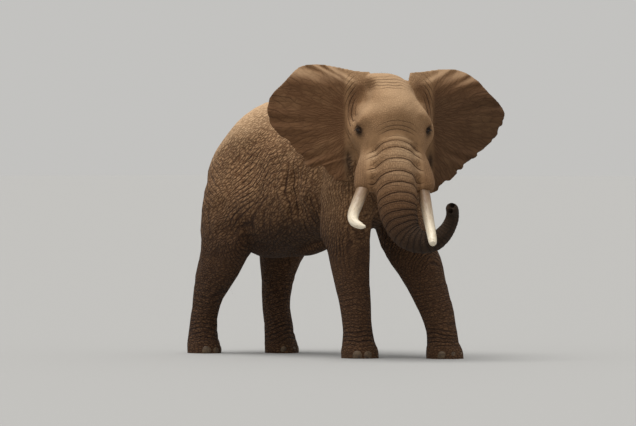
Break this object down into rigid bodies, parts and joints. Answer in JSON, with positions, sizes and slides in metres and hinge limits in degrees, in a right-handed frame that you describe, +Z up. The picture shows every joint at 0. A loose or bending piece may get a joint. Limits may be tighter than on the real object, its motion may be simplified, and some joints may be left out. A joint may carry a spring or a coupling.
{
  "type": "elephant",
  "caption": "Life-size still model of an African bush elephant bull walking with ears spread, head turned to its right and trunk tip curled up.",
  "frame": {"origin": "centre of the bounding box at the level of the soles, which is the floor", "axes": "+Z up, +Y towards the tail, so the body faces -Y; +X is the animal's left side"},
  "size_m": [2.41, 4.6549, 3.5655],
  "materials": {
    "hide": "dry, dusty red-brown hide with a network of creases",
    "ivory": "smooth worn ivory, stained brown near the lip",
    "eye": "wet dark brown eye",
    "hair": "coarse black-brown tail hair"
  },
  "bodies": {
    "root": {"belly": "hide", "chest": "hide", "ear_left": "hide", "ear_right": "hide", "eye_left": "eye", "eye_right": "eye", "foreleg_left_foot": "hide", "foreleg_left_lower": "hide", "foreleg_left_upper": "hide", "foreleg_right_foot": "hide", "foreleg_right_lower": "hide", "foreleg_right_upper": "hide", "head": "hide", "hind_leg_left_foot": "hide", "hind_leg_left_lower": "hide", "hind_leg_left_upper": "hide", "hind_leg_right_foot": "hide", "hind_leg_right_lower": "hide", "hind_leg_right_upper": "hide", "lower_jaw": "hide", "neck": "hide", "rump": "hide", "tail": "hide", "tail_tuft": "hair", "trunk_middle": "hide", "trunk_tip": "hide", "trunk_upper": "hide", "tusk_left": "ivory", "tusk_right": "ivory"}
  },
  "joints": []
}
